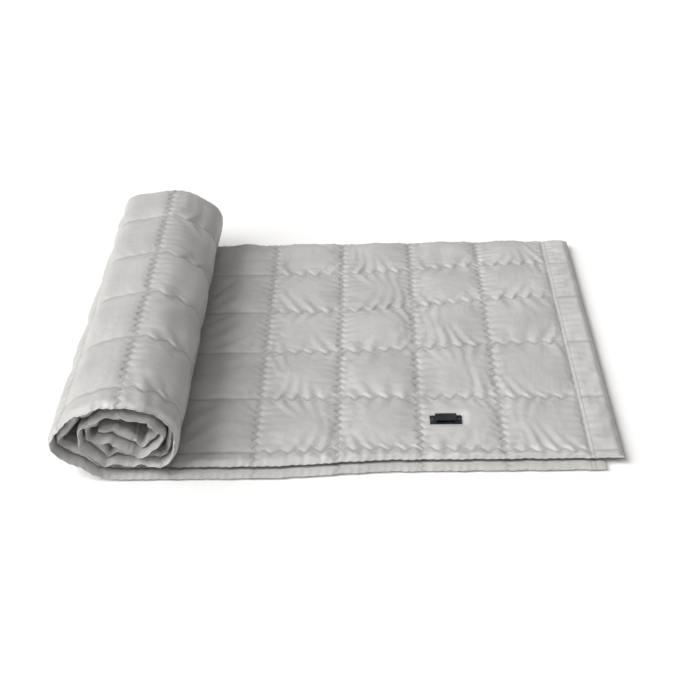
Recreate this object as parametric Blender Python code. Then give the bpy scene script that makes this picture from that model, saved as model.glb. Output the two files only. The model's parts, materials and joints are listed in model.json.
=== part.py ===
"""Infrared sauna blanket: two quilted layers, rolled up at one end and flat at the other.

Metres, +Z up.  +X runs along the blanket's length to its open end, +Y to its back edge.
The roll is a chain of short stretches of the double layer.  Each stretch folds about a line on
the face that is inside the roll, so its square ends meet flush when the blanket lies flat.
"""
import math

import bmesh
import bpy

# Quilting and panel sizes
CELL = 0.1524                 # length of one quilted square
BAND = 0.060                  # plain band beyond the last seam at each end
FLAT_CELLS = 5                # squares between the foot of the roll and the end band
ROLLED_CELLS = 6              # squares inside the roll
WIDTH = 0.80                  # of each layer
SIDE_SHIFT = 0.010            # the bottom layer lies this far forward and the top one as far back
BOTTOM_SHORTFALL = 0.035      # the bottom layer ends this much before the top one
SEAM_0_X = -0.30757           # seam at the foot of the roll, with the whole blanket centred on X = 0
ROW = 0.157                   # spacing of the seams that run along the blanket
FIRST_ROW_Y = 0.270           # the one nearest the back edge

# Heights of the pieces in the flat part, from the floor up
GAP = 0.0003                  # clearance between two neighbouring pieces
THICKNESS = 0.0190            # both layers together
CLOTH = 0.0006                # outer cloth and inner lining
WADDING = 0.0034
FOIL = 0.0004
FILM = 0.0005                 # carbon heating film
BUSBAR = 0.0003
HEATER = 0.0007               # heating film with its foil backing, in the top layer
QUILT = 0.0048                # outer cloth and wadding stitched together, in the top layer

# Folds of the roll, from the floor inwards
FIRST_FOLD = 0.75 * CELL      # distance from the foot seam to the first fold
STRETCHES = (                 # (length after the fold, turn at the fold in degrees)
    (0.091, 35),              # outer turn: rising to the left
    (0.078, 73),
    (0.126, 72),              # flat top
    (0.058, 35),              # right shoulder
    (0.069, 64),
    (0.104, 80),              # inner turn: along the floor of the roll
    (0.054, 51),
    (0.052, 80),
    (0.072, 56),
    (0.036, 51),
    (0.034, 80),
    (None, 69),               # what is left of the length
)

# Inlet socket on the top layer
INLET_CELL = 3                # the square it sits in, counted from the foot seam
INLET_ALONG = 0.048           # from that square's first seam to the middle of the socket
INLET_Y = -0.277
HOUSING = (0.040, 0.020, 0.0090)       # size on X and Y, and height above the cloth
HOUSING_WALL = 0.0020
MOUTH = (0.035, 0.0150, 0.0060)        # cavity that opens towards the front edge
FLANGE = (0.060, 0.026, 0.0014)
PLATE = (0.058, 0.024, 0.0015)
SCREW_SPACING = 0.050
SCREW_RADIUS = 0.0013
SCREW_HEAD_RADIUS = 0.0026
SCREW_HEAD_HEIGHT = 0.0010
PIN_RADIUS = 0.0013
PIN_LENGTH = 0.0090
PIN_SPACING = 0.010
PIN_COUNT = 3

# Thermal parts in the bottom layer's wadding, each in the middle of a square: (cell, row)
CUTOUT_SIZE = (0.018, 0.008, 0.0026)
CUTOUT_SQUARES = {"front": (3, 2), "back": (3, 0)}
SENSOR_SIZE = (0.012, 0.006, 0.0024)
SENSOR_SQUARE = (4, 1)

MATERIALS = {
    "outer_cloth": ((0.60, 0.60, 0.59), 0.55, 0.0),
    "lining_cloth": ((0.50, 0.50, 0.49), 0.60, 0.0),
    "wadding": ((0.88, 0.88, 0.86), 0.95, 0.0),
    "foil": ((0.80, 0.80, 0.82), 0.25, 1.0),
    "carbon_film": ((0.04, 0.04, 0.045), 0.50, 0.0),
    "copper": ((0.72, 0.43, 0.30), 0.35, 1.0),
    "dark_plastic": ((0.09, 0.09, 0.10), 0.45, 0.0),
    "steel": ((0.62, 0.62, 0.63), 0.30, 1.0),
}

# Derived places
END_X = SEAM_0_X + FLAT_CELLS * CELL + BAND
FIRST_FOLD_X = SEAM_0_X - FIRST_FOLD
ROLLED_LENGTH = ROLLED_CELLS * CELL + BAND - FIRST_FOLD
BOTTOM_Y = (-WIDTH / 2 - SIDE_SHIFT, WIDTH / 2 - SIDE_SHIFT)
TOP_Y = (-WIDTH / 2 + SIDE_SHIFT, WIDTH / 2 + SIDE_SHIFT)
INLET_X = SEAM_0_X + INLET_CELL * CELL + INLET_ALONG


def clear_scene():
    for obj in list(bpy.data.objects):
        bpy.data.objects.remove(obj, do_unlink=True)


def make_material(name):
    colour, roughness, metallic = MATERIALS[name]
    material = bpy.data.materials.new(name)
    material.use_nodes = True
    shader = material.node_tree.nodes["Principled BSDF"]
    shader.inputs["Base Color"].default_value = (*colour, 1.0)
    shader.inputs["Roughness"].default_value = roughness
    shader.inputs["Metallic"].default_value = metallic
    return material


def add_object(name, mesh_builder, material, parent=None):
    """Make one object from a bmesh builder, with its own copy of the material."""
    mesh = bpy.data.meshes.new(name)
    bm = bmesh.new()
    mesh_builder(bm)
    bmesh.ops.recalc_face_normals(bm, faces=bm.faces)
    bm.to_mesh(mesh)
    bm.free()
    mesh.materials.append(make_material(material))
    obj = bpy.data.objects.new(name, mesh)
    bpy.context.collection.objects.link(obj)
    obj.parent = parent
    return obj


def add_box(bm, low, high):
    """Add a box between two corners to a bmesh."""
    made = bmesh.ops.create_cube(bm, size=1.0)["verts"]
    for vert in made:
        vert.co = [low[i] if vert.co[i] < 0 else high[i] for i in range(3)]


def add_cylinder(bm, centre, radius, length, along_y=False, segments=20):
    """Add a capped cylinder standing on Z, or lying on Y, with centre at its middle."""
    made = bmesh.ops.create_cone(bm, cap_ends=True, segments=segments, radius1=radius,
                                 radius2=radius, depth=length)["verts"]
    for vert in made:
        x, y, z = vert.co
        turned = (x, z, -y) if along_y else (x, y, z)
        vert.co = [turned[i] + centre[i] for i in range(3)]


def box_object(name, low, high, material, parent=None):
    return add_object(name, lambda bm: add_box(bm, low, high), material, parent)


def add_empty(name, location, parent=None, turn_y=0.0):
    empty = bpy.data.objects.new(name, None)
    bpy.context.collection.objects.link(empty)
    empty.parent = parent
    empty.location = location
    empty.rotation_euler = (0.0, turn_y, 0.0)
    return empty


def cut(target, name, mesh_builder):
    """Subtract a hidden helper shape, placed in the target's own frame."""
    helper = add_object(name, mesh_builder, "dark_plastic", target.parent)
    helper.hide_render = True
    helper.display_type = 'WIRE'
    modifier = target.modifiers.new(name, 'BOOLEAN')
    modifier.operation = 'DIFFERENCE'
    modifier.solver = 'EXACT'
    modifier.object = helper


def grown(low, high, margin):
    return [value - margin for value in low], [value + margin for value in high]


def centred_box(x, y, z_low, size):
    """Corners of a box with its middle at x, y and its underside at z_low."""
    low = (x - size[0] / 2, y - size[1] / 2, z_low)
    high = (x + size[0] / 2, y + size[1] / 2, z_low + size[2])
    return low, high


def stack(pieces, z):
    """Turn (name, material, thickness) into (name, material, low, high), with a gap between."""
    placed = []
    for name, material, thickness in pieces:
        placed.append((name, material, z, z + thickness))
        z += thickness + GAP
    return placed


def bottom_layer():
    """The bottom layer's flat part, with its stretch under the roll: five sheets, two busbars."""
    pieces = [("bottom_outer_cover", "outer_cloth", CLOTH),
              ("bottom_wadding", "wadding", WADDING),
              ("bottom_reflective_foil", "foil", FOIL),
              ("bottom_heating_film", "carbon_film", FILM),
              ("bottom_busbars", "copper", BUSBAR),
              ("bottom_inner_lining", "lining_cloth", CLOTH)]
    x_low = FIRST_FOLD_X + GAP / 2
    x_high = END_X - BOTTOM_SHORTFALL
    hem = 0.012
    placed = {}
    for name, material, z_low, z_high in stack(pieces, 0.0):
        inset = 0.0 if material.endswith("cloth") else hem
        low = (x_low + inset, BOTTOM_Y[0] + inset, z_low)
        high = (x_high - inset, BOTTOM_Y[1] - inset, z_high)
        if name == "bottom_busbars":
            busbars(low, high)
        else:
            placed[name] = box_object(name, low, high, material)
    thermal_parts(placed["bottom_wadding"])


def busbars(low, high):
    """Two copper strips along the heating film's long edges."""
    inset = 0.020
    width = 0.012
    for side, y_low in (("front", low[1] + inset), ("back", high[1] - inset - width)):
        box_object(f"bottom_busbar_{side}", (low[0], y_low, low[2]),
                   (high[0], y_low + width, high[2]), "copper")


def square_middle(cell, row):
    """X and Y of the middle of a quilted square, counted from the foot seam and the back edge."""
    return SEAM_0_X + (cell + 0.5) * CELL, FIRST_ROW_Y - (row + 0.5) * ROW


def thermal_parts(wadding):
    """Two thermal cut-outs and a temperature sensor, each in a pocket through the wadding."""
    z_low = CLOTH + 2 * GAP
    parts = {f"thermal_cutout_{side}": (square, CUTOUT_SIZE, "dark_plastic")
             for side, square in CUTOUT_SQUARES.items()}
    parts["temperature_sensor"] = (SENSOR_SQUARE, SENSOR_SIZE, "steel")
    boxes = {name: centred_box(*square_middle(*square), z_low, size)
             for name, (square, size, _) in parts.items()}

    def build_pockets(bm):
        for corners in boxes.values():
            low, high = grown(*corners, GAP)
            add_box(bm, (low[0], low[1], 0.0), (high[0], high[1], THICKNESS))

    for name, (low, high) in boxes.items():
        box_object(name, low, high, parts[name][2])
    cut(wadding, "thermal_pocket_cutter", build_pockets)


def top_panel(number, x_low, x_high, parent, hinge_x):
    """One stretch of the top layer: lining, heating film with foil, and quilted cover.

    The pieces hang below the panel's top face, in the frame of its fold line at hinge_x.
    """
    pieces = [("inner_lining", "lining_cloth", CLOTH),
              ("heating_film", "carbon_film", HEATER),
              ("quilted_cover", "outer_cloth", QUILT)]
    total = CLOTH + HEATER + QUILT + 2 * GAP
    made = {}
    for name, material, z_low, z_high in stack(pieces, -total):
        hem = 0.0 if material.endswith("cloth") else 0.012
        low = (x_low - hinge_x + GAP / 2, TOP_Y[0] + hem, z_low)
        high = (x_high - hinge_x - GAP / 2, TOP_Y[1] - hem, z_high)
        made[name] = box_object(f"top_panel_{number}_{name}", low, high, material, parent)
    return made


def top_layer():
    """The top layer's fixed panel beside the roll, then four that fold back one after another."""
    base = add_empty("top_layer_frame", (FIRST_FOLD_X, 0.0, THICKNESS))
    hinge_x = SEAM_0_X + CELL
    top_panel(1, FIRST_FOLD_X, hinge_x, base, FIRST_FOLD_X)
    parent = base
    previous = FIRST_FOLD_X
    for number in range(2, FLAT_CELLS + 1):
        last = number == FLAT_CELLS
        x_high = END_X if last else hinge_x + CELL
        parent = add_empty(f"top_fold_{number}", (hinge_x - previous, 0.0, 0.0), parent)
        panel = top_panel(number, hinge_x, x_high, parent, hinge_x)
        if number == INLET_CELL + 1:
            inlet_socket(panel["quilted_cover"], parent, INLET_X - hinge_x)
        previous = hinge_x
        hinge_x += CELL


def screw_places(x):
    return x - SCREW_SPACING / 2, x + SCREW_SPACING / 2


def inlet_socket(cover, parent, x):
    """Low inlet socket: flange, housing, pins, a backing plate under the cover and two screws.

    Heights are measured from the cover's top face.  The socket's mouth faces the front edge.
    """
    plate_low = -QUILT + GAP
    plate_high = plate_low + PLATE[2]
    flange_low = GAP
    housing_low = plate_high + GAP
    housing_size = (HOUSING[0], HOUSING[1], HOUSING[2] - housing_low)
    housing_box = centred_box(x, INLET_Y, housing_low, housing_size)
    plate_box = centred_box(x, INLET_Y, plate_low, PLATE)
    flange_box = centred_box(x, INLET_Y, flange_low, FLANGE)

    def screw_holes(bm, low, high):
        for screw_x in screw_places(x):
            add_cylinder(bm, (screw_x, INLET_Y, (low + high) / 2), SCREW_RADIUS + GAP, high - low)

    def cover_cut(bm):
        low, high = grown(*plate_box, GAP)
        add_box(bm, (low[0], low[1], -THICKNESS), high)

    def cover_through(bm):
        low, high = grown(*housing_box, GAP)
        add_box(bm, (low[0], low[1], plate_high), (high[0], high[1], THICKNESS))
        screw_holes(bm, plate_high, THICKNESS)

    def flange_cut(bm):
        low, high = grown(*housing_box, GAP)
        add_box(bm, (low[0], low[1], -THICKNESS), (high[0], high[1], THICKNESS))
        screw_holes(bm, -THICKNESS, THICKNESS)

    cut(cover, "inlet_plate_cutter", cover_cut)
    cut(cover, "inlet_body_cutter", cover_through)
    box_object("inlet_backing_plate", *plate_box, "steel", parent)
    flange = box_object("inlet_flange", *flange_box, "dark_plastic", parent)
    cut(flange, "inlet_flange_cutter", flange_cut)
    inlet_housing(housing_box, x, parent)
    inlet_screws(x, plate_high + GAP, flange_low + FLANGE[2] + GAP, parent)


def inlet_housing(housing_box, x, parent):
    """Shroud with a cavity open to the front, and three pins that stand on its rear wall."""
    low, high = housing_box
    ceiling = high[2] - HOUSING_WALL
    rear = low[1] + MOUTH[1]

    def cavity(bm):
        add_box(bm, (x - MOUTH[0] / 2, low[1] - HOUSING_WALL, ceiling - MOUTH[2]),
                (x + MOUTH[0] / 2, rear, ceiling))

    housing = box_object("inlet_housing", low, high, "dark_plastic", parent)
    cut(housing, "inlet_cavity_cutter", cavity)
    for number in range(1, PIN_COUNT + 1):
        pin_x = x + (number - (PIN_COUNT + 1) / 2) * PIN_SPACING
        centre = (pin_x, rear - GAP - PIN_LENGTH / 2, ceiling - MOUTH[2] / 2)
        add_pin(f"inlet_pin_{number}", centre, parent)


def add_pin(name, centre, parent):
    def build(bm):
        add_cylinder(bm, centre, PIN_RADIUS, PIN_LENGTH, along_y=True)

    add_object(name, build, "copper", parent)


def inlet_screws(x, shank_low, head_low, parent):
    """Two screws from the flange down to the backing plate, each a shank with a round head."""
    profile = [(0.0, shank_low), (SCREW_RADIUS, shank_low), (SCREW_RADIUS, head_low),
               (SCREW_HEAD_RADIUS, head_low), (SCREW_HEAD_RADIUS, head_low + SCREW_HEAD_HEIGHT),
               (0.0, head_low + SCREW_HEAD_HEIGHT)]
    for side, screw_x in zip(("left", "right"), screw_places(x)):
        add_screw(f"inlet_screw_{side}", profile, screw_x, parent)


def add_screw(name, profile, x, parent):
    """Turn the profile, a list of (radius, height), about the screw's own line."""
    def build(bm):
        verts = [bm.verts.new((x + radius, INLET_Y, z)) for radius, z in profile]
        edges = [bm.edges.new(pair) for pair in zip(verts, verts[1:])]
        bmesh.ops.spin(bm, geom=verts + edges, cent=(x, INLET_Y, 0.0), axis=(0.0, 0.0, 1.0),
                       angle=math.tau, steps=16)
        bmesh.ops.remove_doubles(bm, verts=bm.verts, dist=GAP / 10)

    add_object(name, build, "steel", parent)


def roll():
    """The rolled end: each stretch has its bottom-layer and its top-layer slab."""
    parent = None
    offset = (FIRST_FOLD_X, 0.0, THICKNESS)
    left = ROLLED_LENGTH
    middle = -THICKNESS / 2
    for number, (length, turn) in enumerate(STRETCHES, start=1):
        length = length or left
        left -= length
        parent = add_empty(f"roll_fold_{number:02d}", offset, parent, math.radians(turn))
        x_low = -length + GAP / 2
        x_high = -GAP / 2
        box_object(f"roll_{number:02d}_bottom_layer", (x_low, BOTTOM_Y[0], -THICKNESS),
                   (x_high, BOTTOM_Y[1], middle - GAP / 2), "outer_cloth", parent)
        box_object(f"roll_{number:02d}_top_layer", (x_low, TOP_Y[0], middle + GAP / 2),
                   (x_high, TOP_Y[1], 0.0), "lining_cloth", parent)
        offset = (-length, 0.0, 0.0)


clear_scene()
bottom_layer()
top_layer()
roll()
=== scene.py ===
"""Looks of the rolled sauna blanket: quilted satin cloth over the CAD frame, its inlet, camera and lights.

Every piece of cloth is cut from one simulated quilt. A place on it has two coordinates, in metres: s runs
along the blanket, from the foot seam into the roll (it is negative on the flat part), and y runs across.
A height of 0 is the outside of the bottom layer, and THICKNESS is the inner face that the roll folds on.
"""

import json
import math

import bpy
import numpy as np
from mathutils import Matrix, Vector


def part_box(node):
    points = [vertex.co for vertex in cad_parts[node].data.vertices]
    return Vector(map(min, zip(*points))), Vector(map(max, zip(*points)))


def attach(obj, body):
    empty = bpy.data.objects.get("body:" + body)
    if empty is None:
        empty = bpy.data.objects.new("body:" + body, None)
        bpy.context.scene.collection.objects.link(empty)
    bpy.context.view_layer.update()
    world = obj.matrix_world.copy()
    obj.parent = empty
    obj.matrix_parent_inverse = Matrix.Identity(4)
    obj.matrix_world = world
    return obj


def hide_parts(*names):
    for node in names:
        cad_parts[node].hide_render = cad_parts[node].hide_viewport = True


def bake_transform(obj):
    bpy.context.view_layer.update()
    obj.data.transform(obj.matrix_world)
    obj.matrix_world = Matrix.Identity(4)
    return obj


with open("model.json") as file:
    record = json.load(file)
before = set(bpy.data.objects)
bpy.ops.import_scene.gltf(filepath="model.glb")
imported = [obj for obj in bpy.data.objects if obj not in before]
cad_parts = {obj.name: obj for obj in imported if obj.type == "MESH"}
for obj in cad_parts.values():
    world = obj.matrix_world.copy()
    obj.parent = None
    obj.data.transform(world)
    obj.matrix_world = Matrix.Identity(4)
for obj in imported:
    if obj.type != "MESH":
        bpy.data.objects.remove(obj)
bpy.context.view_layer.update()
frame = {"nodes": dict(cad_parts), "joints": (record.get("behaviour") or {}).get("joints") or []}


# ---------------------------------------------------------------------------------------------------------
# Measures that the frame gives
# ---------------------------------------------------------------------------------------------------------

JOINTS = {joint["name"]: joint for joint in frame["joints"]}
FOLD_JOINTS = [f"top_fold_{k}" for k in range(2, 6)]
ROLL_JOINTS = [f"unroll_{k:02d}" for k in range(1, 13)]
FOLD_XS = [JOINTS[name]["pos_m"][0] for name in FOLD_JOINTS]
THICKNESS = JOINTS["top_fold_2"]["pos_m"][2]
CELL = FOLD_XS[1] - FOLD_XS[0]
FOOT_X = FOLD_XS[0] - CELL
TOP_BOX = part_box("top_panel_5_quilted_cover")
BOTTOM_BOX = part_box("bottom_outer_cover")
BAND = TOP_BOX[1][0] - FOOT_X - 5 * CELL

# The quilt's grid and its stitching. The seams' zigzags fade over SEAM_FADE, in squares.
ROLLED_CELLS = 6
STEP = CELL / 36
ROW = 0.157
FIRST_ROW_Y = 0.270
ROW_YS = [FIRST_ROW_Y - ROW * k for k in range(5)]
COLUMN_PERIOD = 0.0203
ROW_PERIOD = 0.0305
COLUMN_SWING = 0.0062
ROW_SWING = 0.0085
SMOOTH_CELL = 1
SEAM_FADE = 0.1
PULLED_LINES = 4
SHEET_LENGTH = ROLLED_CELLS * CELL + BAND
SHEET_HALF_WIDTH = 0.41

# The quilt's puff is made of what the simulation swells, a steep rim beside the seams, and small pleats.
SWOLLEN_SHARE = 0.66
RIM_SHARE = 0.48
RIM_REACH = 0.006
PILLOW_REACH = 0.014
PLEAT_SHARE = 0.20
PLEAT_LEAN = 0.6
PLEAT_REACH = 0.016
PLEAT_REACH_CHANGE = 0.010
COLUMN_PLEATS = 0.6
COLUMN_PLEAT_REACH = 0.011

# Loose diagonal wrinkles in the smooth column and the end band: size, wavelength, direction and bend.
SLACK = 1.3
SLACK_LENGTH = 0.046
SLACK_WAY = (0.6, -0.8)
SLACK_BEND = 1.5

# Slow waves that make the pleats and wrinkles uneven, in radians per metre along s and y.
LEAN_WAVES = (2.9 / CELL, 8)
REACH_WAVES = (31, 17)
BEND_WAVES = (20, 9)
PATCH_WAVES = (31, 14)

# The cloth simulation: its frames, the shape it starts from, and how its heights are evened out.
CLOTH_FRAMES = 15
START_PUFF = 0.0022
START_PLEATS = 0.0016
FULL_PERCENTILE = 90
PUFF_LIMIT = 1.25

# Heights of the four skins at their seams, and of a full puff on each.
SEAM_HEIGHT = {"under": 0.0040, "bed": 0.0070, "lining": 0.0127, "cover": 0.0158}
FLAT_PUFF = {"under": -0.0037, "bed": 0.0020, "lining": -0.0026, "cover": 0.0082}
ROLL_PUFF = {"under": -0.0042, "bed": 0.0020, "lining": -0.0026, "cover": 0.0044}

# The outside of the roll's outer turn, between these places along s, puffs more. The cover puffs less
# under the roll. All such changes fade over FADE.
OUTER_WRAP_PUFF = -0.0072
OUTER_WRAP = (0.125, 0.540)
UNDER_ROLL_X = FOOT_X + 0.050
FADE = 0.040

# The hems: the strip that turns in, the thickness at the edge, and the roll of padding beside it.
HEM = 0.0060
HEM_EDGE = 0.0006
HEM_FADE = 0.010
HEM_LEVEL = 0.002
HEM_PUFF = 0.55
HEM_PUFF_REACH = 0.016

# The crest of the roll is the third seam from the foot, and the square before it is pulled smooth.
CREST_CELLS = 3
CREST_S = 0.3725
CALM = 0.75

# Where the roll's outside swells (-) or sags in (+), in metres: at its front end, and at its back end.
LEFT_SWELL = (-0.007, -0.003)
INNER_LEFT_SWELL = (-0.007, -0.005)
SHOULDER_SAG = (0.017, 0.002)
CREST_SWELL = (-0.003, -0.009)
SWELL_REACH = 0.036

# The top layer's padding is loose and fills part of the room between the turns: what stays free, the
# most that it takes, its share deep inside the roll, how far in from the roll's ends it falls to that,
# and how far from a fold it is full. The room is evened out over ROOM_LINES lines. Cloth more than
# ONE_TURN further along belongs to the next turn.
FREE_ROOM = 0.0065
LOOSE_MOST = 0.013
LOOSE_INSIDE = 0.45
LOOSE_REACH = 0.070
LOOSE_FOLD_REACH = 0.016
ROOM_LINES = 7
ONE_TURN = 0.25

# The rows of seams drift apart towards the open end: how far each row has moved there, from the back
# row on.
ROW_DRIFT = (0.036, 0.050, 0.028, -0.006, -0.014)
ROW_DRIFT_START = -0.26
ROW_DRIFT_END = -0.74

# By the roll and in it, the front edge lies further forward and the back edge further back. The front
# edge runs in waves, and on the inner turns it is drawn in.
FRONT_BOW = 0.016
BOW_START = -0.42
BOW_LENGTH = 0.26
BACK_BOW = 0.006
TURNS_INSET = 0.006
EDGE_WAVE = 0.0040
EDGE_WAVELENGTHS = (0.083, 0.047)
EDGE_REACH = 0.080
FLAT_EDGE_SHARE = 0.25

# The inner turns flutter at the front edge, and the hems are gathered in fine folds.
FLUTTER = 0.0016
FLUTTER_LENGTHS = (0.061, 0.036, 0.023)
FLUTTER_REACH = 0.050
GATHER = 0.0010
GATHER_LENGTH = 0.0150
GATHER_REACH = 0.012


def smooth(t):
    """0 before 0, 1 after 1, and smooth between."""
    t = np.clip(t, 0, 1)
    return t * t * (3 - 2 * t)


def zigzag(t):
    """A wave of straight lines between -1 and 1, one period per unit of t."""
    return 2 * np.abs(2 * (t - np.floor(t + 0.5))) - 1


# ---------------------------------------------------------------------------------------------------------
# The quilt: one flat sheet with zigzag seams, blown up by a cloth simulation
# ---------------------------------------------------------------------------------------------------------

class Quilt:
    """The stitched sheet on a regular grid: where each vertex goes, and how far it puffs."""

    def __init__(self):
        self.s = np.arange(0, SHEET_LENGTH + STEP, STEP)
        self.y = np.arange(-SHEET_HALF_WIDTH, SHEET_HALF_WIDTH + STEP, STEP)
        self.s_grid, self.y_grid = np.meshgrid(self.s, self.y, indexing="ij")
        columns = [k * CELL for k in range(ROLLED_CELLS + 1)]
        self.column_gap = distance_to(self.s, columns)[:, None]
        self.row_gap = distance_to(self.y, ROW_YS)[None, :]
        self.drift_s, self.drift_y = self.seam_drift()
        swollen = self.simulate()
        rims = self.pillow(RIM_REACH)
        self.puff = SWOLLEN_SHARE * swollen + RIM_SHARE * rims + PLEAT_SHARE * self.pleats()

    def wandering(self):
        """How strongly the rows zigzag at each s: not at all in the smooth column and the end band."""
        cell = self.s / CELL
        from_middle = np.abs(cell - SMOOTH_CELL - 0.5)
        out_of_smooth = smooth((from_middle - (1 - SEAM_FADE) / 2) / SEAM_FADE)
        out_of_band = smooth((ROLLED_CELLS - cell) / SEAM_FADE)
        return out_of_smooth * out_of_band

    def seam_drift(self):
        """Moves the grid line nearest each seam onto its zigzag, and those beside it part of the way."""
        drift_s = np.zeros(self.s_grid.shape)
        drift_y = np.zeros(self.s_grid.shape)
        for k in range(ROLLED_CELLS + 1):
            swing = 0 if k == ROLLED_CELLS else COLUMN_SWING
            wave = swing * zigzag(self.y / COLUMN_PERIOD)
            pull_lines(drift_s, self.s, k * CELL, wave)
        wandering = self.wandering()
        for row_y in ROW_YS:
            wave = ROW_SWING * wandering * zigzag(self.s / ROW_PERIOD)
            pull_lines(drift_y.T, self.y, row_y, wave)
        return drift_s, drift_y

    def pinned(self):
        """True where the sheet is stitched down: on the seams, the band's two stitch lines and the hems."""
        pinned = (self.column_gap < STEP / 2) | (self.row_gap <= STEP / 2)
        band_line = round(ROLLED_CELLS * CELL / STEP) + 1
        pinned[band_line, :] = True
        pinned[-1, :] = True
        pinned[:, 0] = True
        pinned[:, -1] = True
        return pinned

    def uneven(self, waves):
        """A slow wave over the sheet, between -1 and 1."""
        return np.sin(waves[0] * self.s_grid + waves[1] * self.y_grid)

    def pleats(self):
        """Small folds that run out from the seams, from each point of their zigzag, leaning to one side."""
        wandering = self.wandering()[:, None]
        lean = PLEAT_LEAN * self.uneven(LEAN_WAVES)
        across_rows = np.cos(2 * np.pi * (self.s_grid + lean * self.row_gap) / ROW_PERIOD)
        reach = PLEAT_REACH + PLEAT_REACH_CHANGE * self.uneven(REACH_WAVES)
        rows = across_rows * np.exp(-self.row_gap / reach) * smooth(self.row_gap / (2 * STEP)) * wandering
        across_columns = np.cos(2 * np.pi * self.y_grid / COLUMN_PERIOD)
        columns = across_columns * np.exp(-self.column_gap / COLUMN_PLEAT_REACH)
        columns = columns * smooth(self.column_gap / (2 * STEP))
        return rows + COLUMN_PLEATS * columns + SLACK * self.slack() * (1 - wandering)

    def slack(self):
        """Loose diagonal wrinkles, in patches."""
        along = SLACK_WAY[0] * self.s_grid + SLACK_WAY[1] * self.y_grid
        bend = SLACK_BEND * self.uneven(BEND_WAVES)
        patches = 0.5 + 0.5 * self.uneven(PATCH_WAVES)
        free = smooth(np.minimum(self.column_gap, self.row_gap) / SLACK_LENGTH)
        return np.sin(2 * np.pi * along / SLACK_LENGTH + bend) * patches * free

    def pillow(self, reach=PILLOW_REACH):
        """The puff as a plain formula: steep beside the seams and level in the middle of each square."""
        return (1 - np.exp(-self.column_gap / reach)) * (1 - np.exp(-self.row_gap / reach))

    def simulate(self):
        """The puff from Blender's cloth: the seams stay put, and pressure swells the slack between them."""
        start = START_PUFF * self.pillow() + START_PLEATS * self.pleats()
        start[self.pinned()] = 0
        points = np.stack([self.s_grid + self.drift_s, self.y_grid + self.drift_y, start], axis=-1)
        sheet = grid_object("quilt_simulation", points)
        group = sheet.vertex_groups.new(name="seams")
        group.add(np.flatnonzero(self.pinned().ravel()).tolist(), 1.0, "REPLACE")
        add_cloth(sheet, group.name)
        heights = run_cloth(sheet)
        bpy.data.objects.remove(sheet)
        full = np.percentile(heights, FULL_PERCENTILE)
        return PUFF_LIMIT * np.tanh(heights.reshape(start.shape) / full / PUFF_LIMIT)

    def sample(self, values, s, y):
        """A grid of values, interpolated at the lines s and y."""
        return sample_lines(sample_lines(values, self.s, s).T, self.y, y).T


def distance_to(values, lines):
    """Distance from each value to the nearest of the lines."""
    return np.min(np.abs(np.asarray(values)[:, None] - np.asarray(lines)[None, :]), axis=1)


def pull_lines(drift, values, target, wave):
    """Adds to drift what brings the grid line nearest to target onto target + wave, and fades beside it."""
    nearest = int(np.argmin(np.abs(values - target)))
    for offset in range(1 - PULLED_LINES, PULLED_LINES):
        line = nearest + offset
        if 0 <= line < len(values):
            share = 1 - abs(offset) / PULLED_LINES
            drift[line, :] += share * (target - values[nearest] + wave)


def sample_lines(values, grid, wanted):
    """Rows of values, interpolated linearly at the wanted places on a regular grid."""
    place = np.clip((np.asarray(wanted) - grid[0]) / (grid[1] - grid[0]), 0, len(grid) - 1.001)
    low = np.floor(place + 1e-9).astype(int)
    share = (place - low)[:, None]
    return values[low] * (1 - share) + values[low + 1] * share


def add_cloth(sheet, pin_group):
    """A cloth modifier that blows the sheet up between its pinned seams, without gravity."""
    cloth = sheet.modifiers.new("Cloth", "CLOTH")
    settings = cloth.settings
    settings.quality = 4
    settings.mass = 0.15
    settings.tension_stiffness = 15
    settings.compression_stiffness = 15
    settings.shear_stiffness = 5
    settings.bending_stiffness = 0.6
    settings.tension_damping = 5
    settings.compression_damping = 5
    settings.bending_damping = 0.5
    settings.air_damping = 1
    settings.vertex_group_mass = pin_group
    settings.use_pressure = True
    settings.uniform_pressure_force = 1.6
    settings.shrink_min = -0.035
    settings.effector_weights.gravity = 0
    cloth.point_cache.frame_end = CLOTH_FRAMES


def run_cloth(sheet):
    """Steps the simulation and returns the height of every vertex at its end."""
    scene = bpy.context.scene
    scene.frame_start = 1
    scene.frame_end = CLOTH_FRAMES
    for number in range(1, CLOTH_FRAMES + 1):
        scene.frame_set(number)
    result = sheet.evaluated_get(bpy.context.evaluated_depsgraph_get())
    points = np.zeros(len(sheet.data.vertices) * 3)
    result.data.vertices.foreach_get("co", points)
    scene.frame_set(1)
    return points.reshape(-1, 3)[:, 2]


def grid_faces(rows, columns, flip=False):
    """Quads over a grid of rows x columns vertices."""
    index = np.arange(rows * columns).reshape(rows, columns)
    corners = [index[:-1, :-1], index[1:, :-1], index[1:, 1:], index[:-1, 1:]]
    if flip:
        corners.reverse()
    return np.stack(corners, axis=-1).reshape(-1, 4)


def grid_object(name, points):
    """An object with one open grid of quads."""
    mesh = bpy.data.meshes.new(name)
    faces = grid_faces(points.shape[0], points.shape[1])
    mesh.from_pydata(points.reshape(-1, 3).tolist(), [], faces.tolist())
    piece = bpy.data.objects.new(name, mesh)
    bpy.context.scene.collection.objects.link(piece)
    return piece


# ---------------------------------------------------------------------------------------------------------
# The path of the roll
# ---------------------------------------------------------------------------------------------------------

# The bend at a fold: its most reach along the cloth, what it leaves between two bends, and how round it is.
CORNER_REACH = 0.026
CORNER_MARGIN = 0.004
CORNER_PULL = 0.85


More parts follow.
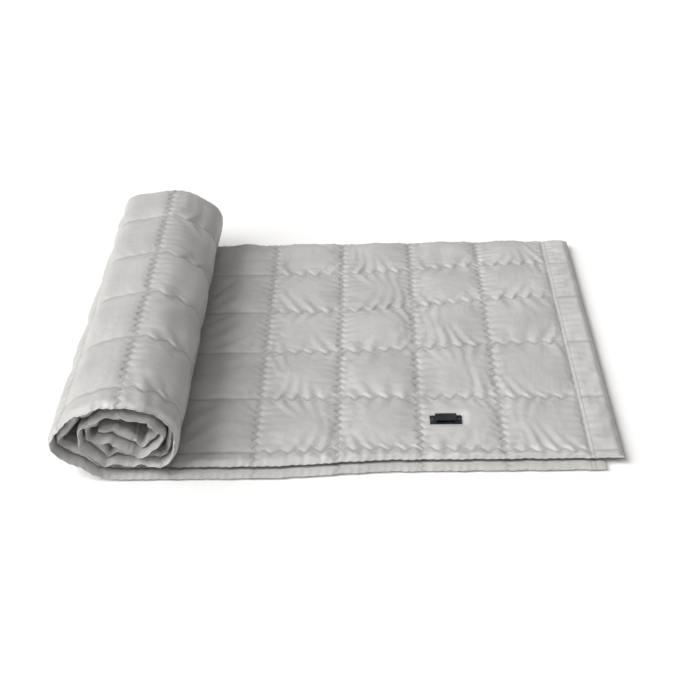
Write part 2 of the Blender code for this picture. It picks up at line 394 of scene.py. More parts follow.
class Path:
    """The line that the blanket's inner face follows in the XZ plane, with rounded corners at the folds."""

    def __init__(self):
        self.points = [np.array(JOINTS[name]["pos_m"])[[0, 2]] for name in ROLL_JOINTS]
        turns = [math.radians(JOINTS[name]["range_deg"][1]) for name in ROLL_JOINTS]
        self.headings = [0.0] + list(np.cumsum(turns))
        lengths = [np.linalg.norm(b - a) for a, b in zip(self.points, self.points[1:])]
        first = FOOT_X - self.points[0][0]
        self.folds = [first] + list(first + np.cumsum(lengths))
        lengths = [first] + lengths + [SHEET_LENGTH - self.folds[-1]]
        self.centres = [fold + length / 2 for fold, length in zip(self.folds, lengths[1:])]
        shorter = [min(pair) / 2 - CORNER_MARGIN for pair in zip(lengths, lengths[1:])]
        self.reach = [min(CORNER_REACH, room) for room in shorter]

    def direction(self, k):
        """The way the cloth runs after fold k, counted from 1; 0 is the flat part."""
        return np.array([-math.cos(self.headings[k]), math.sin(self.headings[k])])

    def blend_line(self, k):
        """Where the bend at fold k, counted from 1, starts and ends."""
        point = self.points[k - 1]
        reach = self.reach[k - 1]
        return point - reach * self.direction(k - 1), point + reach * self.direction(k)

    def at(self, s):
        """The point of the path at s, and the unit normal that points away from the outside of the roll."""
        for k, (fold, reach) in enumerate(zip(self.folds, self.reach), 1):
            if abs(s - fold) < reach:
                return self.corner(k, (s - fold + reach) / (2 * reach))
        k = sum(s > fold for fold in self.folds)
        start = self.points[k - 1] if k else np.array([FOOT_X, THICKNESS])
        from_s = self.folds[k - 1] if k else 0
        direction = self.direction(k)
        return start + (s - from_s) * direction, across(direction)

    def corner(self, k, t):
        """A cubic curve round fold k, for t from 0 to 1."""
        start, end = self.blend_line(k)
        pull = CORNER_PULL * self.reach[k - 1]
        handle_a = start + pull * self.direction(k - 1)
        handle_b = end - pull * self.direction(k)
        u = 1 - t
        point = u ** 3 * start + 3 * u * u * t * handle_a + 3 * u * t * t * handle_b + t ** 3 * end
        tangent = u * u * (handle_a - start) + 2 * u * t * (handle_b - handle_a) + t * t * (end - handle_b)
        return point, across(tangent / np.linalg.norm(tangent))

    def room(self, s_lines):
        """The free distance from the inner face at each s to the next turn, or half to the same turn."""
        places = [self.at(s) for s in s_lines]
        face = np.array([place[0] for place in places])
        normal = np.array([place[1] for place in places])
        outside = face - THICKNESS * normal
        room = []
        for s, point, way in zip(s_lines, face, normal):
            later = s_lines[:-1] > s + ONE_TURN
            opposite = np.abs(s_lines[:-1] - s) > ONE_TURN / 2
            next_turn = ray_length(point, way, outside, later)
            same_turn = ray_length(point, way, face, opposite)
            room.append(min(next_turn, same_turn / 2))
        return np.array(room)


def ray_length(point, way, line, segments):
    """How far a ray runs before it meets one of the chosen segments of a line in the plane."""
    start = (line[:-1] - point)[segments]
    run = np.diff(line, axis=0)[segments]
    slope = plane_cross(way, run)
    slope = np.where(np.abs(slope) < 1e-9, 1e-9, slope)
    length = plane_cross(start, run) / slope
    share = plane_cross(start, way) / slope
    met = (share >= 0) & (share <= 1) & (length > 0)
    return np.min(length[met], initial=1.0)


def plane_cross(a, b):
    """The cross product of plane vectors."""
    return a[..., 0] * b[..., 1] - a[..., 1] * b[..., 0]


def across(direction):
    """The normal of a direction in the XZ plane, upwards where the cloth lies flat."""
    return np.array([direction[1], -direction[0]])


# ---------------------------------------------------------------------------------------------------------
# The two padded layers
# ---------------------------------------------------------------------------------------------------------

LAYERS = {
    "bottom": {"skins": ("under", "bed"), "box": BOTTOM_BOX, "binding": False},
    "top": {"skins": ("lining", "cover"), "box": TOP_BOX, "binding": True},
}

# Extra grid lines at these distances from a hem. The quilt's own lines start at EDGE_CLEAR.
EDGE_LINES = (0, 0.0004, 0.0015, 0.0033, 0.0060)
EDGE_CLEAR = 0.007
# The width of the dark line along the top layer's front edge and open end, on its flat part.
DARK_EDGE_WIDTH = 0.0012

# The cover lies level just under the inlet's flange, and rises to the puffs over SEAT_FADE.
INLET_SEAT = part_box("inlet_flange")
SEAT_FADE = 0.014
SEAT_GAP = 0.0001


def cut_lines(grid, low, high, low_hem=True, high_hem=True):
    """The grid lines between low and high, with extra lines where a hem turns over."""
    inner = [line for line in grid if low + EDGE_CLEAR < line < high - EDGE_CLEAR]
    start = [low + gap for gap in EDGE_LINES] if low_hem else [low]
    end = [high - gap for gap in reversed(EDGE_LINES)] if high_hem else [high]
    return np.array(start + inner + end)


class Layer:
    """One padded layer, from its open end on the flat part to its end inside the roll."""

    def __init__(self, name, quilt, path, cloth):
        facts = LAYERS[name]
        self.name = name
        self.cloth = cloth
        self.outer_skin, self.inner_skin = facts["skins"]
        low, high = facts["box"]
        self.y_low, self.y_high = low[1], high[1]
        self.s_low, self.s_high = FOOT_X - high[0], SHEET_LENGTH
        flat = cut_lines(np.sort(CELL - quilt.s), self.s_low, 0, high_hem=False)[:-1]
        rolled = cut_lines(quilt.s, 0, self.s_high, low_hem=False)
        marks = (0, CREST_CELLS * CELL, SHEET_LENGTH)
        self.s = np.concatenate([flat, np.interp(rolled, marks, (0, CREST_S, SHEET_LENGTH))])
        self.y = cut_lines(quilt.y, self.y_low, self.y_high)
        self.sheet_s = np.concatenate([CELL - flat, rolled])
        middle = CREST_CELLS - 0.5
        calm = CALM * smooth(((1 + SEAM_FADE) / 2 - np.abs(rolled / CELL - middle)) / SEAM_FADE)
        self.calm = np.concatenate([0 * flat, calm])[:, None]
        self.measure(path)
        self.loose = self.loose_padding(path)
        self.points = [self.place(skin, quilt, path) for skin in facts["skins"]]
        self.normals = [surface_normals(self.points[0], -1), surface_normals(self.points[1], 1)]

    def measure(self, path):
        """Distances to the hems and the seams at every point of the layer's grid."""
        across_hem = np.minimum(self.y - self.y_low, self.y_high - self.y)[None, :]
        along_hem = np.minimum(self.s - self.s_low, self.s_high - self.s)[:, None]
        self.hem_gap = np.minimum(across_hem, along_hem)
        shape = self.hem_gap.shape
        second_stitch = ROLLED_CELLS * CELL + STEP
        columns = [k * CELL for k in range(ROLLED_CELLS + 1)] + [second_stitch]
        self.column_gap = np.broadcast_to(distance_to(self.sheet_s, columns)[:, None], shape)
        self.row_gap = np.broadcast_to(distance_to(self.y, ROW_YS)[None, :], shape)
        # A dark line along the front edge and the open end of the top layer, only where it lies flat.
        dark_edge_gap = np.minimum((self.y - self.y_low)[None, :], (self.s - self.s_low)[:, None])
        has_dark_edge = LAYERS[self.name]["binding"] & (self.s[:, None] < path.folds[0])
        self.dark_edge_mask = has_dark_edge * (dark_edge_gap < DARK_EDGE_WIDTH)

    def loose_padding(self, path):
        """How much thicker the top layer is in the roll, where it fills the room between the turns."""
        room = np.clip(path.room(self.s) - FREE_ROOM, 0, LOOSE_MOST) * smooth(self.s / FADE)
        by_fold = np.exp(-(distance_to(self.s, path.folds) / LOOSE_FOLD_REACH) ** 2)
        padded = np.pad(room, ROOM_LINES // 2, "edge")
        along = np.convolve(padded, np.ones(ROOM_LINES) / ROOM_LINES, "valid") * (1 - by_fold)
        from_end = np.minimum(self.y - self.y_low, self.y_high - self.y)
        share = LOOSE_INSIDE + (1 - LOOSE_INSIDE) * np.exp(-from_end / LOOSE_REACH)
        return along[:, None] * share[None, :] * (self.name == "top")

    def drift(self, quilt, path):
        """How far each point moves along s and y to lie on its seam, less near the straight hems."""
        free = smooth((self.hem_gap - HEM) / HEM_FADE)
        sign = np.where(self.s < 0, -1, 1)[:, None]
        along = quilt.sample(quilt.drift_s, self.sheet_s, self.y) * sign
        across_y = quilt.sample(quilt.drift_y, self.sheet_s, self.y)
        open_end = smooth((self.s - self.s_low) / HEM_FADE)[:, None]
        across_y = across_y * free * (1 - self.calm) + self.row_drift()
        return along * open_end, across_y + self.end_drift(path)

    def row_drift(self):
        """The rows of seams drift apart towards the open end, and the hems stay straight."""
        rows = [self.y_high] + ROW_YS + [self.y_low]
        drift = np.interp(self.y, rows[::-1], (0, *ROW_DRIFT, 0)[::-1])
        share = smooth((ROW_DRIFT_START - self.s) / (ROW_DRIFT_START - ROW_DRIFT_END))
        return share[:, None] * drift[None, :]

    def end_drift(self, path):
        """The front edge bows forward by the roll, runs in waves, and is drawn in on the inner turns."""
        bow = smooth((self.s - BOW_START) / BOW_LENGTH)
        inner = smooth((self.s - OUTER_WRAP[1]) / FADE)
        rolled = smooth((self.s - path.folds[0]) / FADE)
        waves = sum(1 + np.sin(2 * np.pi * self.s / length) for length in EDGE_WAVELENGTHS) / 2
        share = FLAT_EDGE_SHARE + (1 - FLAT_EDGE_SHARE) * rolled
        at_front = EDGE_WAVE * waves * share + TURNS_INSET * inner - FRONT_BOW * bow
        near_front = np.exp(-(self.y - self.y_low) / EDGE_REACH)
        near_back = np.exp(-(self.y_high - self.y) / EDGE_REACH)
        return at_front[:, None] * near_front[None, :] + (BACK_BOW * rolled)[:, None] * near_back[None, :]

    def puff_size(self, skin):
        """The height of a full puff along s, less where the roll presses on the layer or hides it."""
        flat, rolled = FLAT_PUFF[skin], ROLL_PUFF[skin]
        under_roll = smooth((self.s - (FOOT_X - UNDER_ROLL_X)) / FADE + 0.5)
        if skin != "cover":
            under_roll = smooth((self.s - OUTER_WRAP[0]) / FADE + 0.5)
        size = flat + (rolled - flat) * under_roll
        if skin == "under":
            start, end = OUTER_WRAP
            shown = smooth((self.s - start) / FADE) * smooth((end - self.s) / FADE)
            size = size + (OUTER_WRAP_PUFF - size) * shown
        return size[:, None]

    def heights(self, skin, quilt):
        """The skin's height: its seam height and puff, drawn in to the layer's middle at the hems."""
        middle = (SEAM_HEIGHT[self.outer_skin] + SEAM_HEIGHT[self.inner_skin] + self.loose) / 2
        puff = quilt.sample(quilt.puff, self.sheet_s, self.y) * (1 - self.calm)
        puff = puff + self.calm * quilt.sample(quilt.pillow(), self.sheet_s, self.y)
        puff = puff + HEM_PUFF * np.exp(-self.hem_gap / HEM_PUFF_REACH)
        turned = np.sqrt(1 - (1 - np.clip(self.hem_gap / HEM, 0, 1)) ** 2)
        full = SEAM_HEIGHT[skin] + self.loose * (skin == "cover")
        seam = middle + (full - middle) * turned
        seam = seam + np.sign(SEAM_HEIGHT[skin] - middle) * HEM_EDGE / 2 * (1 - turned)
        height = seam + self.puff_size(skin) * puff * smooth((self.hem_gap - HEM_LEVEL) / HEM_FADE)
        gathers = np.sin(2 * np.pi * self.s / GATHER_LENGTH)[:, None]
        gathers = gathers * np.exp(-self.hem_gap / GATHER_REACH)
        return height + GATHER * gathers * smooth((self.s - self.s_low) / FADE)[:, None]

    def swell(self, path):
        """Extra height where the turns swell, sag and flutter, inwards where it is positive.

        The outer turn's left side is at the path's second fold and its shoulder at the third, and the
        inner turn's left side is at the eighth.
        """
        front = smooth((self.y_high - self.y) / (self.y_high - self.y_low))[None, :]
        total = np.zeros(self.hem_gap.shape)
        places = (
            (path.folds[1], LEFT_SWELL), (path.folds[2], SHOULDER_SAG),
            (CREST_S, CREST_SWELL), (path.folds[7], INNER_LEFT_SWELL),
        )
        for s, (at_front, at_back) in places:
            along = np.exp(-((self.s - s) / SWELL_REACH) ** 2)[:, None]
            total += along * (at_front * front + at_back * (1 - front))
        rolled = smooth((self.s - OUTER_WRAP[1]) / FADE)
        waves = sum(np.sin(2 * np.pi * self.s / length + self.y_low) for length in FLUTTER_LENGTHS)
        near_front = np.exp(-(self.y - self.y_low) / FLUTTER_REACH)
        return total + (FLUTTER * rolled * waves)[:, None] * near_front[None, :]

    def seat(self, height, x, y):
        """The cover lies level under the inlet's flange."""
        low, high = INLET_SEAT
        gap_x = np.maximum(np.maximum(low[0] - x, x - high[0]), 0)
        gap_y = np.maximum(np.maximum(low[1] - y, y - high[1]), 0)
        away = smooth(np.hypot(gap_x, gap_y) / SEAT_FADE)
        return (THICKNESS - SEAT_GAP) * (1 - away) + height * away

    def place(self, skin, quilt, path):
        """The skin's points in the frame: along the path, at its height from the outside of the blanket."""
        along, across_y = self.drift(quilt, path)
        height = self.heights(skin, quilt) + self.swell(path)
        y = self.y[None, :] + across_y
        if skin == "cover":
            height = self.seat(height, FOOT_X - self.s[:, None], y)
        if skin == "under":
            on_floor = self.s[:, None] < path.folds[0]
            height = np.where(on_floor, np.maximum(height, 0), height)
        places = [path.at(s) for s in self.s]
        point = np.array([place[0] for place in places])[:, None, :]
        normal = np.array([place[1] for place in places])[:, None, :]
        tangent = np.stack([-normal[..., 1], normal[..., 0]], axis=-1)
        xz = point + tangent * along[..., None] + normal * (height - THICKNESS)[..., None]
        return np.stack([xz[..., 0], y, xz[..., 1]], axis=-1)

    def line_near(self, s):
        """The index of the grid line nearest to s."""
        return int(np.argmin(np.abs(self.s - s)))

    def piece(self, name, first, last):
        """A closed padded piece between two grid lines of the layer."""
        span = slice(first, last + 1)
        rows = last + 1 - first
        outer, inner = [points[span].reshape(-1, 3) for points in self.points]
        faces = closed_faces(rows, len(self.y))
        mesh = bpy.data.meshes.new(name)
        mesh.from_pydata(np.concatenate([outer, inner]).tolist(), [], faces.tolist())
        self.write_attributes(mesh, span)
        mesh.shade_smooth()
        normals = np.concatenate([normal[span].reshape(-1, 3) for normal in self.normals])
        mesh.normals_split_custom_set_from_vertices(normals.tolist())
        piece = bpy.data.objects.new(name, mesh)
        bpy.context.scene.collection.objects.link(piece)
        mesh.materials.append(self.cloth)
        return piece

    def write_attributes(self, mesh, span):
        """Stores the quilt coordinates, the seam distances and the dark edge line, for the cloth's
        material.
        """
        s = np.broadcast_to(self.sheet_s[:, None], self.hem_gap.shape)
        y = np.broadcast_to(self.y[None, :], self.hem_gap.shape)
        write_vectors(mesh, "quilt", s[span], y[span], self.hem_gap[span])
        dark_edge_mask = self.dark_edge_mask[span] * 1.0
        write_vectors(mesh, "seams", self.column_gap[span], self.row_gap[span], dark_edge_mask)


def write_vectors(mesh, name, *parts):
    """Writes one vector attribute, the same on the outer and the inner skin."""
    values = np.stack([part.ravel() for part in parts], axis=-1)
    attribute = mesh.attributes.new(name, "FLOAT_VECTOR", "POINT")
    attribute.data.foreach_set("vector", np.concatenate([values, values]).ravel().astype(np.float32))


def closed_faces(rows, columns):
    """Faces of a closed pad whose outer and inner skins are grids of rows x columns vertices."""
    outer = grid_faces(rows, columns)
    inner = grid_faces(rows, columns, flip=True) + rows * columns
    index = np.arange(rows * columns).reshape(rows, columns)
    rim = np.concatenate([index[:, 0], index[-1, 1:], index[-2::-1, -1], index[0, -2:0:-1]])
    after = np.roll(rim, -1)
    other = rows * columns
    wall = np.stack([after, rim, rim + other, after + other], axis=-1)
    return np.concatenate([outer, inner, wall])


def surface_normals(points, side):
    """Unit normals of a grid of points; side is 1 or -1 for the way they point."""
    along = np.gradient(points, axis=0)
    over = np.gradient(points, axis=1)
    normal = np.cross(over, along) * side
    return normal / np.maximum(np.linalg.norm(normal, axis=-1, keepdims=True), 1e-12)


# ---------------------------------------------------------------------------------------------------------
# Pieces of the layers; the two still ones at the foot go on its body
# ---------------------------------------------------------------------------------------------------------


def lay_roll(layer, path):
    """The layer's rolled part: one piece across each fold, cut halfway between the folds, and the end."""
    cuts = [layer.line_near(path.folds[0] - 2 * path.reach[0])]
    cuts += [layer.line_near(centre) for centre in path.centres[:-1]]
    pieces = []
    for k, (first, last) in enumerate(zip(cuts, cuts[1:] + [len(layer.s) - 1]), 1):
        piece = layer.piece(f"{layer.name}_fold_{k:02d}", first, last)
        start, end = path.blend_line(k)
        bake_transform(piece)
        pieces.append(piece)
    return cuts[0], pieces


def lay_bottom(layer, roll_start):
    """The bottom layer's flat part, which doesn't move."""
    piece = layer.piece("bottom_flat", 0, roll_start)
    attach(piece, "bottom_and_foot")
    return piece


def lay_top(layer, roll_start):
    """The top layer's flat part: still at the foot, then one piece across each of its folds."""
    fold_s = [FOOT_X - x for x in FOLD_XS]
    cuts = [layer.line_near(s + CELL / 2) for s in fold_s] + [0]
    foot = layer.piece("top_flat_1", cuts[0], roll_start)
    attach(foot, "bottom_and_foot")
    pieces = [foot]
    for k, (last, first) in enumerate(zip(cuts, cuts[1:])):
        piece = layer.piece(f"top_flat_{k + 2}", first, last)
        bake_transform(piece)
        pieces.append(piece)
    return pieces


def replace_cad_cloth(bottom_roll, top_flat, top_roll):
    """Each soft CAD node is stood for by the piece that covers its place."""
    covers = ["bottom_outer_cover", "bottom_wadding", "bottom_inner_lining"]
    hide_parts(*covers)
    parts = ("inner_lining", "heating_film", "quilted_cover")
    for k, piece in enumerate(top_flat, 1):
        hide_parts(*[f"top_panel_{k}_{part}" for part in parts])
    for k, (outer, inner) in enumerate(zip(bottom_roll, top_roll), 1):
        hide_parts(f"roll_{k:02d}_bottom_layer")
        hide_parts(f"roll_{k:02d}_top_layer")


# ---------------------------------------------------------------------------------------------------------
# Materials
# ---------------------------------------------------------------------------------------------------------

# A noise texture's values mostly lie between these two.
NOISE_LOW = 0.3
NOISE_HIGH = 0.7


class Nodes:
    """Short calls for building one node material."""

    def __init__(self, name):
        self.material = bpy.data.materials.new(name)
        self.material.use_nodes = True
        self.tree = self.material.node_tree
        self.shader = self.tree.nodes["Principled BSDF"]

    def add(self, kind, **settings):
        node = self.tree.nodes.new(kind)
        for key, value in settings.items():
            setattr(node, key, value)
        return node

    def link(self, output, target):
        self.tree.links.new(output, target)

    def set(self, **values):
        """Puts fixed values on the shader's own sockets."""
        for key, value in values.items():
            self.shader.inputs[key.replace("_", " ")].default_value = value

    def math(self, operation, a, b=0.0, c=0.0):
        node = self.add("ShaderNodeMath", operation=operation)
        for socket, value in zip(node.inputs, (a, b, c)):
            if isinstance(value, (int, float)):
                socket.default_value = value
            else:
                self.link(value, socket)
        return node.outputs[0]

    def range(self, value, low, high, to_low, to_high, smooth_step=False):
        node = self.add("ShaderNodeMapRange")
        if smooth_step:
            node.interpolation_type = "SMOOTHSTEP"
        self.link(value, node.inputs["Value"])
        limits = {"From Min": low, "From Max": high, "To Min": to_low, "To Max": to_high}
        for key, number in limits.items():
            node.inputs[key].default_value = number
        return node.outputs[0]

    def noise(self, vector, scale, detail=2.0, roughness=0.5):
        node = self.add("ShaderNodeTexNoise")
        node.inputs["Scale"].default_value = scale
        node.inputs["Detail"].default_value = detail
        node.inputs["Roughness"].default_value = roughness
        self.link(vector, node.inputs["Vector"])
        return node.outputs["Fac"]

    def spread(self, noise, low=0.0, high=1.0):
        """A noise texture's usual values, mapped to a range from low to high."""
        return self.range(noise, NOISE_LOW, NOISE_HIGH, low, high)

    def wave(self, vector, scale, direction):
        node = self.add("ShaderNodeTexWave", wave_type="BANDS", bands_direction=direction)
        node.inputs["Scale"].default_value = scale
        node.inputs["Distortion"].default_value = 0.4
        node.inputs["Detail"].default_value = 1.0
        self.link(vector, node.inputs["Vector"])
        return node.outputs["Fac"]

    def colours(self, share, first, second):
        """A colour between two, by share; each is an rgb tuple or a colour output."""
        node = self.add("ShaderNodeMix", data_type="RGBA")
        self.link(share, node.inputs[0])
        for socket, colour in ((node.inputs[6], first), (node.inputs[7], second)):
            if isinstance(colour, tuple):
                socket.default_value = colour + (1.0,)
            else:
                self.link(colour, socket)
        return node.outputs[2]

    def bump(self, height, distance, strength, under=None):
        node = self.add("ShaderNodeBump")
        node.inputs["Strength"].default_value = strength
        node.inputs["Distance"].default_value = distance
        self.link(height, node.inputs["Height"])
        if under is not None:
            self.link(under, node.inputs["Normal"])
        return node.outputs["Normal"]


CLOTH_LIGHT = (0.565, 0.556, 0.548)
CLOTH_DARK = (0.475, 0.467, 0.460)
# Painted shade: the colour that the cloth darkens to beside its seams, standing in for the shade in their
# creases.
SEAM_SHADE = (0.235, 0.23, 0.225)
THREAD = (0.66, 0.655, 0.645)
# The colour of the dark line along the top layer's front edge and open end.
DARK_EDGE_COLOUR = (0.055, 0.066, 0.062)

# Sizes in the cloth's material, in metres, and texture scales per metre.
# How far from a seam the painted seam shade reaches, and how strong it is on the seam.
SEAM_SHADE_WIDTH = 0.0050
SEAM_SHADE_SHARE = 0.62
STITCH_WIDTH = 0.0006
STITCH_SOFT_WIDTH = 1.7 * STITCH_WIDTH
STITCHES_PER_METRE = 330.0
STITCH_SHARE = 0.7
STITCH_DEPTH = 0.0005
PATCH_SCALE = 9.0
GLOSS_SCALE = 60.0
WEAVE_SCALE = 560.0
WEAVE_DEPTH = 0.00012
WRINKLE_SCALE = 48.0
WRINKLE_STRETCH = (1.0, 0.35, 1.0)
WRINKLE_DEPTH = 0.0026
CLOTH_ROUGHNESS = (0.40, 0.52)


def cloth_material():
    """Satin-weave silver-grey cloth, with painted shade in its seams' creases, their thread, fine wrinkles
    and a dark edge line.
    """
    nodes = Nodes("quilted_satin")
    quilt = nodes.add("ShaderNodeAttribute", attribute_name="quilt").outputs["Vector"]
    place = nodes.add("ShaderNodeSeparateXYZ")
    nodes.link(quilt, place.inputs[0])
    seams = nodes.add("ShaderNodeSeparateXYZ")
    nodes.link(nodes.add("ShaderNodeAttribute", attribute_name="seams").outputs["Vector"], seams.inputs[0])
    nearest = nodes.math("MINIMUM", seams.outputs[0], seams.outputs[1])

    patches = nodes.noise(quilt, PATCH_SCALE, 3.0)
    body = nodes.colours(nodes.spread(patches), CLOTH_DARK, CLOTH_LIGHT)
    # Painted shade: the colour darkens beside the seams, standing in for the shade in their creases.
    seam_shade = nodes.range(nearest, 0.0, SEAM_SHADE_WIDTH, SEAM_SHADE_SHARE, 0.0, True)
    body = nodes.colours(seam_shade, body, SEAM_SHADE)
    thread = stitches(nodes, place, seams)
    body = nodes.colours(thread, body, THREAD)
    # The dark line along the top layer's front edge and open end, on its flat part only.
    body = nodes.colours(nodes.range(seams.outputs[2], 0.2, 0.8, 0, 1), body, DARK_EDGE_COLOUR)
    nodes.link(body, nodes.shader.inputs["Base Color"])

    gloss = nodes.noise(quilt, GLOSS_SCALE, 3.0)
    nodes.link(nodes.spread(gloss, *CLOTH_ROUGHNESS), nodes.shader.inputs["Roughness"])
    nodes.set(Sheen_Weight=0.25, Sheen_Roughness=0.4, Specular_IOR_Level=0.45)

    warp = nodes.wave(quilt, WEAVE_SCALE, "X")
    weft = nodes.wave(quilt, WEAVE_SCALE, "Y")
    weave = nodes.bump(nodes.math("MULTIPLY", warp, weft), WEAVE_DEPTH, 0.5)
    stretched = nodes.add("ShaderNodeMapping")
    stretched.inputs["Scale"].default_value = WRINKLE_STRETCH
    nodes.link(quilt, stretched.inputs["Vector"])
    creases = nodes.noise(stretched.outputs[0], WRINKLE_SCALE, 4.0, 0.55)
    wrinkled = nodes.bump(creases, WRINKLE_DEPTH, 0.65, weave)
    stitched = nodes.bump(thread, STITCH_DEPTH, 0.8, wrinkled)
    nodes.link(stitched, nodes.shader.inputs["Normal"])
    return nodes.material


def stitches(nodes, place, seams):
    """1 on the stitches of the seams, which run in short dashes along them."""
    columns = dashes(nodes, seams.outputs[0], place.outputs[1])
    rows = dashes(nodes, seams.outputs[1], place.outputs[0])
    return nodes.math("MAXIMUM", columns, rows)


def dashes(nodes, gap, along):
    """1 on the dashes of one seam, from the distance to it and the place along it."""
    on_seam = nodes.range(gap, STITCH_WIDTH, STITCH_SOFT_WIDTH, 1, 0)
    part = nodes.math("FRACT", nodes.math("MULTIPLY", along, STITCHES_PER_METRE))
    dash = nodes.math("LESS_THAN", part, STITCH_SHARE)
    return nodes.math("MULTIPLY", on_seam, dash)


BRUSH_SCALE = 900.0
BRUSH_DEPTH = 0.00005
SPECK_SCALE = 700.0


def grained_material(name, dark, light, scale, roughness, metallic=0.0, depth=0.0002):
    """A plain solid with fine grain in its colour, gloss and surface."""
    nodes = Nodes(name)
    place = nodes.add("ShaderNodeTexCoord").outputs["Object"]
    grain = nodes.noise(place, scale, 4.0)
    broad = nodes.noise(place, scale / 20, 2.0)
    share = nodes.range(nodes.math("MULTIPLY", grain, broad), 0.15, 0.35, 0, 1)
    nodes.link(nodes.colours(share, dark, light), nodes.shader.inputs["Base Color"])
    nodes.link(nodes.spread(grain, *roughness), nodes.shader.inputs["Roughness"])
    nodes.set(Metallic=metallic)
    nodes.link(nodes.bump(grain, depth, 0.5), nodes.shader.inputs["Normal"])
    return nodes.material


def brushed_metal(name, dark, light, roughness, direction="X"):
    """Drawn or brushed metal: fine lines in one direction and a few scratches."""
    nodes = Nodes(name)
    place = nodes.add("ShaderNodeTexCoord").outputs["Object"]
    lines = nodes.wave(place, BRUSH_SCALE, direction)
    specks = nodes.noise(place, SPECK_SCALE, 3.0)
    nodes.link(nodes.colours(nodes.spread(specks), dark, light), nodes.shader.inputs["Base Color"])
    nodes.link(nodes.spread(specks, *roughness), nodes.shader.inputs["Roughness"])
    nodes.set(Metallic=1.0)
    nodes.link(nodes.bump(lines, BRUSH_DEPTH, 0.4), nodes.shader.inputs["Normal"])
    return nodes.material


def finish_cad_nodes():
    """Gives each CAD node that stays in view, or inside the pad, its own material."""
    plastic = grained_material(
        "moulded_plastic", (0.016, 0.017, 0.021), (0.034, 0.035, 0.041), scale=900, roughness=(0.38, 0.55))
    foil = grained_material(
        "reflective_foil", (0.58, 0.59, 0.61), (0.88, 0.88, 0.90), scale=90, roughness=(0.14, 0.34),
        metallic=1.0, depth=0.0006)
    film = grained_material(
        "carbon_film", (0.010, 0.010, 0.012), (0.050, 0.050, 0.055), scale=300, roughness=(0.34, 0.60))
    steel = brushed_metal("brushed_steel", (0.42, 0.42, 0.43), (0.66, 0.66, 0.67), (0.26, 0.42))
    brass = brushed_metal("brass_contact", (0.52, 0.36, 0.14), (0.78, 0.60, 0.30), (0.20, 0.34), "Z")
    copper = brushed_metal("copper_strip", (0.58, 0.25, 0.14), (0.85, 0.45, 0.30), (0.22, 0.38))
    finishes = {
        "inlet_flange": plastic, "inlet_housing": plastic, "thermal_cutout": plastic,
        "inlet_pin": brass, "inlet_screw": steel, "inlet_backing_plate": steel, "temperature_sensor": steel,
        "bottom_busbar": copper, "bottom_reflective_foil": foil, "bottom_heating_film": film,
    }
    for name, node in frame["nodes"].items():
        for start, material in finishes.items():
            if name.startswith(start):
                node.data.materials.clear()
                node.data.materials.append(material)


# ---------------------------------------------------------------------------------------------------------
# Camera, floor and light
# ---------------------------------------------------------------------------------------------------------

# The photo's camera, worked out from the seams and corners of the flat part; angles in radians.
CAMERA_PLACE = (FOOT_X + 0.3725, -2.170, 1.4566)
CAMERA_YAW = -0.0324
CAMERA_PITCH = 0.58486
CAMERA_ROLL = -0.03004
CAMERA_LENS = 66.77
SENSOR = 36.0

# Each light: where it comes from, its power and its angular size. Then the surround's strength.
KEY_FROM = (-1.0, -0.22, 0.96)
KEY_POWER = 3.24
KEY_SOFTNESS = math.radians(48)
FRONT_FROM = (0.0, -0.58, 1.0)
FRONT_POWER = 0.98
FRONT_SOFTNESS = math.radians(60)
LIGHT_COLOUR = (1.0, 0.992, 0.98)
SURROUND = 0.10

FLOOR_SIZE = 30
FLOOR_DARK = (0.965, 0.965, 0.965)
FLOOR_LIGHT = (0.985, 0.985, 0.985)
BACKDROP_RADIUS = 13


def make_camera():
    """The camera, turned by its yaw, pitch and roll."""
    data = bpy.data.cameras.new("camera")
    data.lens = CAMERA_LENS
    data.sensor_width = SENSOR
    camera = bpy.data.objects.new("camera", data)
    bpy.context.scene.collection.objects.link(camera)
    level = math.cos(CAMERA_PITCH)
    ahead = Vector((math.sin(CAMERA_YAW), math.cos(CAMERA_YAW), 0)) * level
    forward = ahead - Vector((0, 0, math.sin(CAMERA_PITCH)))
    right = Vector((math.cos(CAMERA_YAW), -math.sin(CAMERA_YAW), 0))
    up = right.cross(forward)
    tilt = Matrix.Rotation(-CAMERA_ROLL, 3, forward)
    axes = Matrix((tilt @ right, tilt @ up, -forward)).transposed()
    camera.matrix_world = Matrix.Translation(CAMERA_PLACE) @ axes.to_4x4()
    bpy.context.scene.camera = camera


def add_light(name, come_from, power, softness):
    """A soft light from far away, slightly warm."""
    light = bpy.data.lights.new(name, "SUN")
    light.energy = power
    light.angle = softness
    light.color = LIGHT_COLOUR
    lamp = bpy.data.objects.new(name, light)
    lamp.rotation_euler = Vector(come_from).to_track_quat("Z", "Y").to_euler()
    bpy.context.scene.collection.objects.link(lamp)


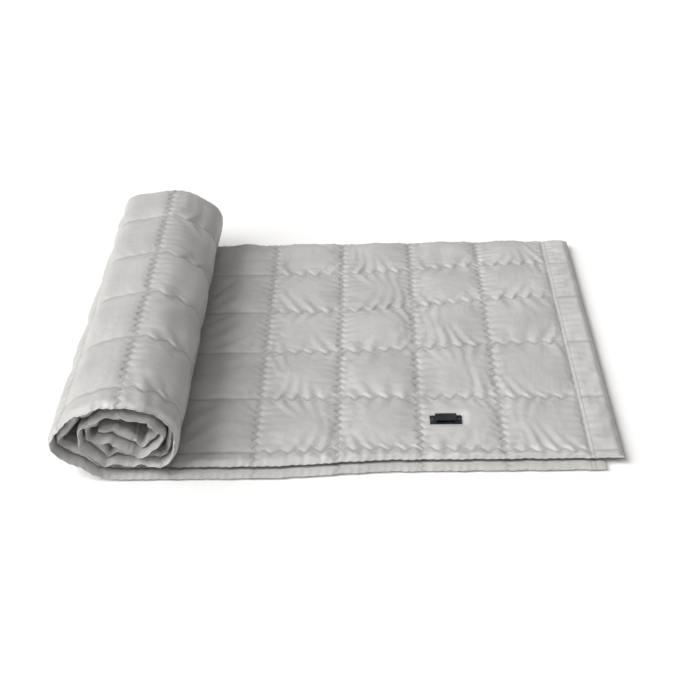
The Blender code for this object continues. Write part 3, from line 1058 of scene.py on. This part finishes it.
def make_floor():
    """A pale floor with a faint cloudy tone."""
    bpy.ops.mesh.primitive_plane_add(size=FLOOR_SIZE, location=(0, 0, 0))
    floor = bpy.context.object
    floor.name = "floor"
    nodes = Nodes("pale_floor")
    place = nodes.add("ShaderNodeTexCoord").outputs["Object"]
    cloudy = nodes.spread(nodes.noise(place, 3.0))
    nodes.link(nodes.colours(cloudy, FLOOR_DARK, FLOOR_LIGHT), nodes.shader.inputs["Base Color"])
    nodes.set(Roughness=0.9, Specular_IOR_Level=0.1)
    floor.data.materials.append(nodes.material)


def make_backdrop():
    """A white sphere round the scene, which only the camera sees."""
    bpy.ops.mesh.primitive_uv_sphere_add(
        segments=48, ring_count=24, radius=BACKDROP_RADIUS, location=(0, 0, 0))
    backdrop = bpy.context.object
    backdrop.name = "backdrop"
    nodes = Nodes("white_backdrop")
    nodes.set(Base_Color=(0, 0, 0, 1), Emission_Color=(1, 1, 1, 1))
    nodes.set(Emission_Strength=1.0, Specular_IOR_Level=0)
    backdrop.data.materials.append(nodes.material)
    backdrop.visible_diffuse = False
    backdrop.visible_glossy = False
    backdrop.visible_shadow = False


def make_lights():
    """A dim white surround, and soft light from the upper left and from the front."""
    world = bpy.data.worlds.new("surround")
    world.use_nodes = True
    background = world.node_tree.nodes["Background"]
    background.inputs["Color"].default_value = (1.0, 1.0, 1.0, 1.0)
    background.inputs["Strength"].default_value = SURROUND
    bpy.context.scene.world = world
    add_light("key", KEY_FROM, KEY_POWER, KEY_SOFTNESS)
    add_light("front", FRONT_FROM, FRONT_POWER, FRONT_SOFTNESS)
    bpy.context.scene.view_settings.view_transform = "Standard"


# ---------------------------------------------------------------------------------------------------------

make_camera()
make_floor()
make_backdrop()
make_lights()
cloth = cloth_material()
finish_cad_nodes()

quilt = Quilt()
path = Path()
bottom = Layer("bottom", quilt, path, cloth)
top = Layer("top", quilt, path, cloth)
bottom_start, bottom_roll = lay_roll(bottom, path)
top_start, top_roll = lay_roll(top, path)
bottom_flat = lay_bottom(bottom, bottom_start)
top_flat = lay_top(top, top_start)
replace_cad_cloth(bottom_roll, top_flat, top_roll)

bpy.context.view_layer.update()
